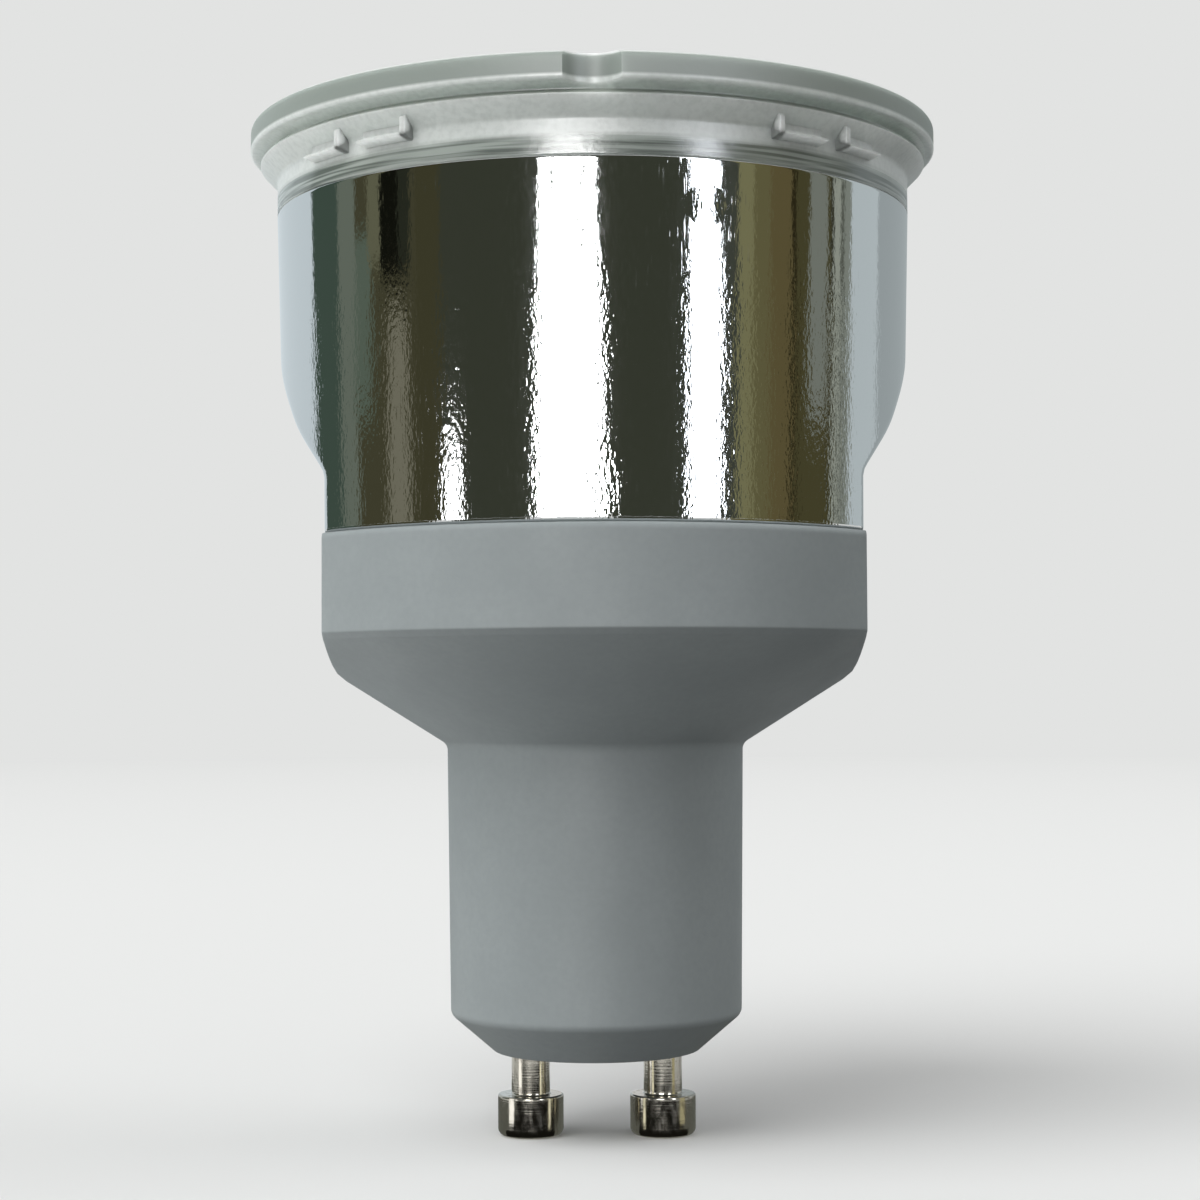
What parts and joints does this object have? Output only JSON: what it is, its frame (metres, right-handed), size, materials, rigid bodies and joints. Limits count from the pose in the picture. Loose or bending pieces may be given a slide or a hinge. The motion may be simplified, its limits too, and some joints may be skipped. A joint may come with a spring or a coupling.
{
  "type": "gu10 spotlight bulb",
  "caption": "Compact fluorescent reflector lamp with a frosted cover, a mirrored housing and a white two-pin twist base.",
  "frame": {"origin": "centre of the flat end face of the base, midway between the two pins", "axes": "+Z along the lamp axis from the pins to the front cover; the pins lie on the X axis; -Y faces the camera"},
  "size_m": [0.052, 0.0519, 0.076],
  "materials": {
    "cover_plastic": "frosted, satin",
    "metallised_plastic": "mirror bright, finely drawn",
    "base_plastic": "satin moulded",
    "pin_metal": "bright nickel plate",
    "holder_plastic": "matte",
    "tube_glass": "white coated inside",
    "lead_metal": "tinned",
    "board_laminate": "matte laminate",
    "ferrite": "matte dark",
    "bobbin_plastic": "matte",
    "copper_wire": "enamelled copper",
    "can_sleeve": "shrunk sleeve",
    "moulding_black": "matte",
    "film_dip": "dipped, glossy",
    "resistor_body": "lacquered",
    "wire_cover": "smooth"
  },
  "bodies": {
    "root": {"front_cover": "cover_plastic", "mirror_housing": "metallised_plastic", "base_housing": "base_plastic", "left_pin": "pin_metal", "right_pin": "pin_metal", "tube_holder": "holder_plastic", "discharge_tube": "tube_glass", "left_tube_leads": "lead_metal", "right_tube_leads": "lead_metal", "circuit_board": "board_laminate", "choke_core": "ferrite", "choke_bobbin": "bobbin_plastic", "choke_winding": "copper_wire", "smoothing_capacitor": "can_sleeve", "drive_ring": "ferrite", "ring_coils": "copper_wire", "left_transistor": "moulding_black", "right_transistor": "moulding_black", "resonance_capacitor": "film_dip", "starting_capacitor": "film_dip", "filter_inductor": "ferrite", "rectifier_diodes": "moulding_black", "resistors": "resistor_body", "fusible_resistor": "resistor_body", "left_pin_wire": "wire_cover", "right_pin_wire": "wire_cover"}
  },
  "joints": []
}
